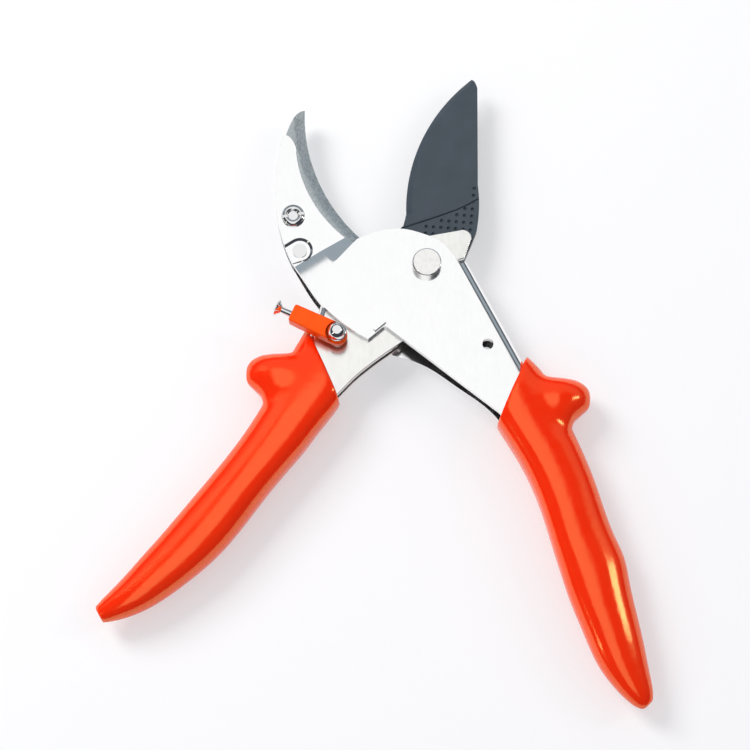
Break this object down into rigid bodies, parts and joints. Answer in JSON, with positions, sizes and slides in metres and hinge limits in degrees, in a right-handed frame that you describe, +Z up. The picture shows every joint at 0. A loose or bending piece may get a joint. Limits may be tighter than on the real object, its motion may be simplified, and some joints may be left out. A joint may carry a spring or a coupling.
{
  "type": "anvil pruner",
  "caption": "Anvil pruner lying open: folded steel frame and lever, dark blade, curved anvil, dipped orange grips with thumb stops and a swinging latch.",
  "frame": {"origin": "on the pivot bolt's axis, in the plane the pruner lies on", "axes": "+Z up along the pivot's axis, +Y from the handles towards the jaws, +X across towards the frame's handle"},
  "size_m": [0.1669, 0.2024, 0.0216],
  "materials": {
    "plated_steel": "bright zinc plate, satin",
    "anvil_metal": "bare cast alloy, fine grain",
    "bright_steel": "polished",
    "pivot_steel": "nickel, smooth",
    "grip_vinyl": "glossy dipped vinyl",
    "blade_coating": "non-stick coating, satin",
    "bush_brass": "plain",
    "spring_steel": "drawn wire",
    "latch_paint": "smooth paint"
  },
  "bodies": {
    "frame": {"frame": "plated_steel", "anvil": "anvil_metal", "anvil_screw": "bright_steel", "anvil_screw_nut": "bright_steel", "anvil_rivet": "bright_steel", "pivot_bolt": "pivot_steel", "pivot_washer": "bright_steel", "pivot_nut": "bright_steel", "frame_grip": "grip_vinyl"},
    "lever": {"lever": "plated_steel", "blade": "blade_coating", "pivot_bush": "bush_brass", "blade_rivets": "bright_steel", "spring_post": "bright_steel", "return_spring": "spring_steel", "lever_grip": "grip_vinyl", "latch_rivet": "bright_steel", "latch_spacer": "bright_steel", "latch_washer": "bright_steel"},
    "latch": {"latch_bar": "latch_paint", "latch_stud": "bright_steel"}
  },
  "joints": [
    {"name": "main_pivot", "type": "hinge", "parent": "frame", "child": "lever", "pos_m": [0, 0, 0.00805], "axis": [0, 0, 1], "range_deg": [0, 48.3], "stiffness_Nm_per_rad": 0.2, "springref_deg": -85.94, "deforming": ["return_spring"]},
    {"name": "latch_pivot", "type": "hinge", "parent": "lever", "child": "latch", "pos_m": [-0.02779, -0.02363, 0.0164], "axis": [0, 0, -1], "range_deg": [0, 73.66]}
  ]
}
